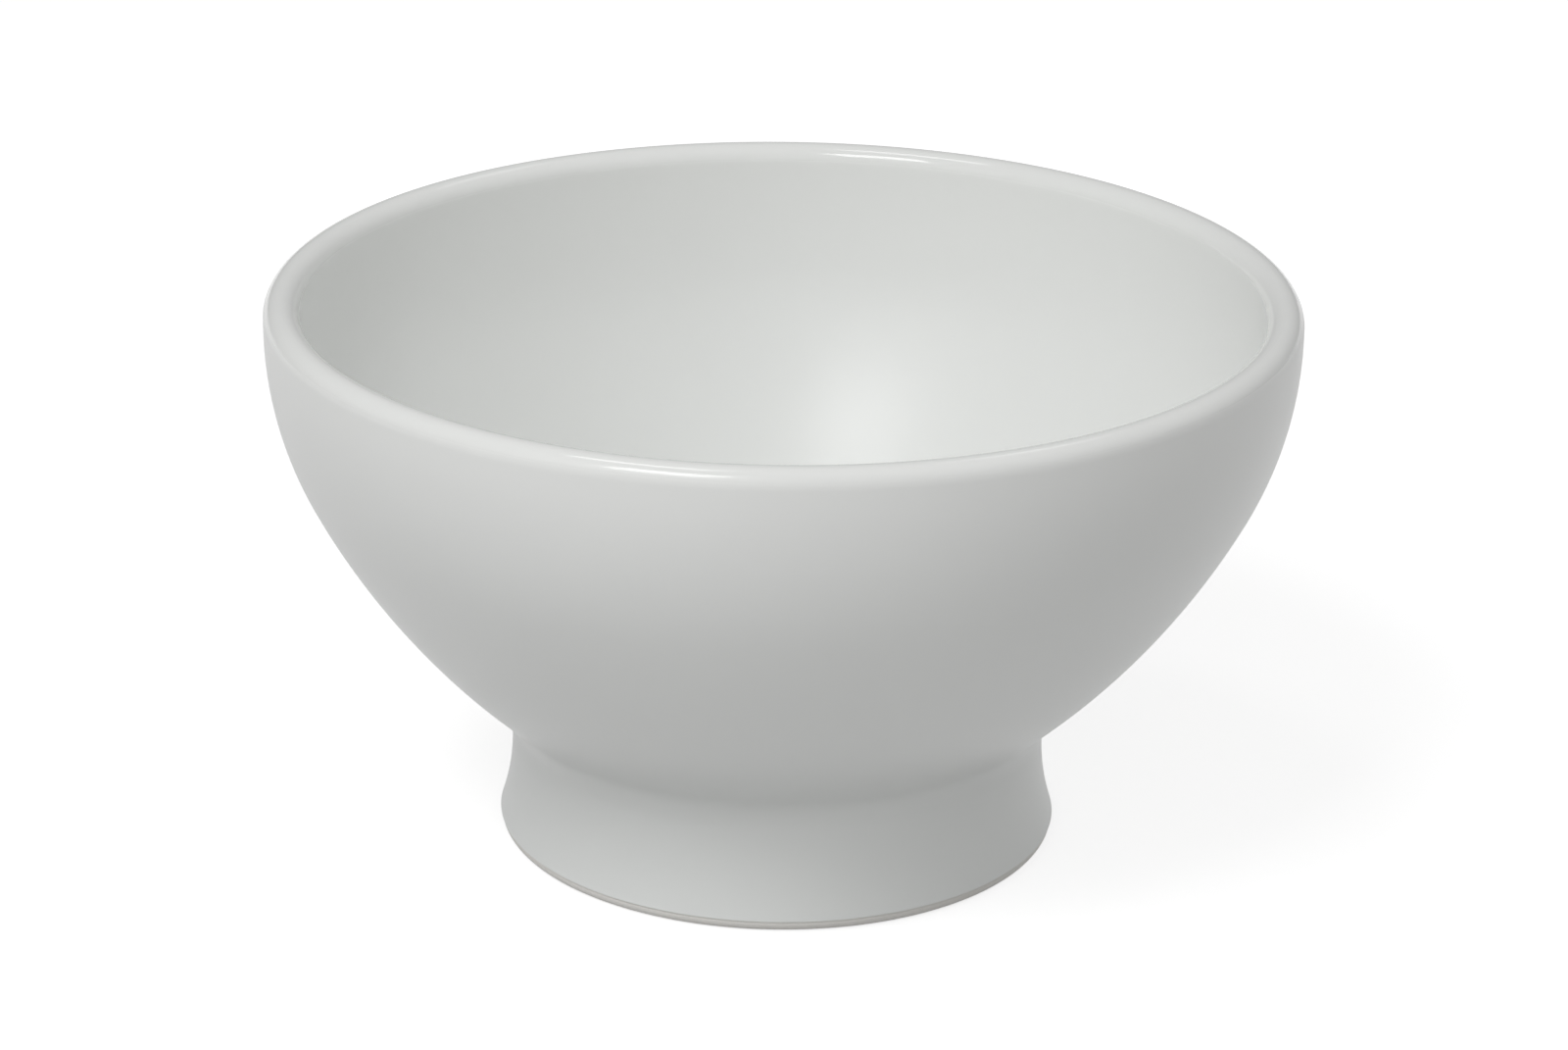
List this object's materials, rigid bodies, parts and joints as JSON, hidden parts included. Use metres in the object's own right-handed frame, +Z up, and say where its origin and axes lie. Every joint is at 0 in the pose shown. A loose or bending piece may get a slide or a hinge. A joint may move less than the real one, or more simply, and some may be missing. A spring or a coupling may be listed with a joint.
{
  "type": "latte bowl",
  "caption": "Round footed latte bowl in white glazed porcelain, with a round lip, a curved wall and a short flared hollow foot.",
  "frame": {"origin": "centre of the foot's standing ring, on the table", "axes": "+Z up along the bowl's axis of revolution; X and Y are alike, because the bowl is round"},
  "size_m": [0.14, 0.14, 0.0775],
  "materials": {
    "porcelain": "bare fired white porcelain, smooth and dull",
    "slip": "fired porcelain slip, hidden under the glaze",
    "white_glaze": "glossy white glaze, smooth"
  },
  "bodies": {
    "root": {"bowl_body": "porcelain", "pedestal_foot": "porcelain", "luting_slip": "slip", "liner_glaze": "white_glaze", "outside_glaze": "white_glaze", "foot_well_glaze": "white_glaze"}
  },
  "joints": []
}
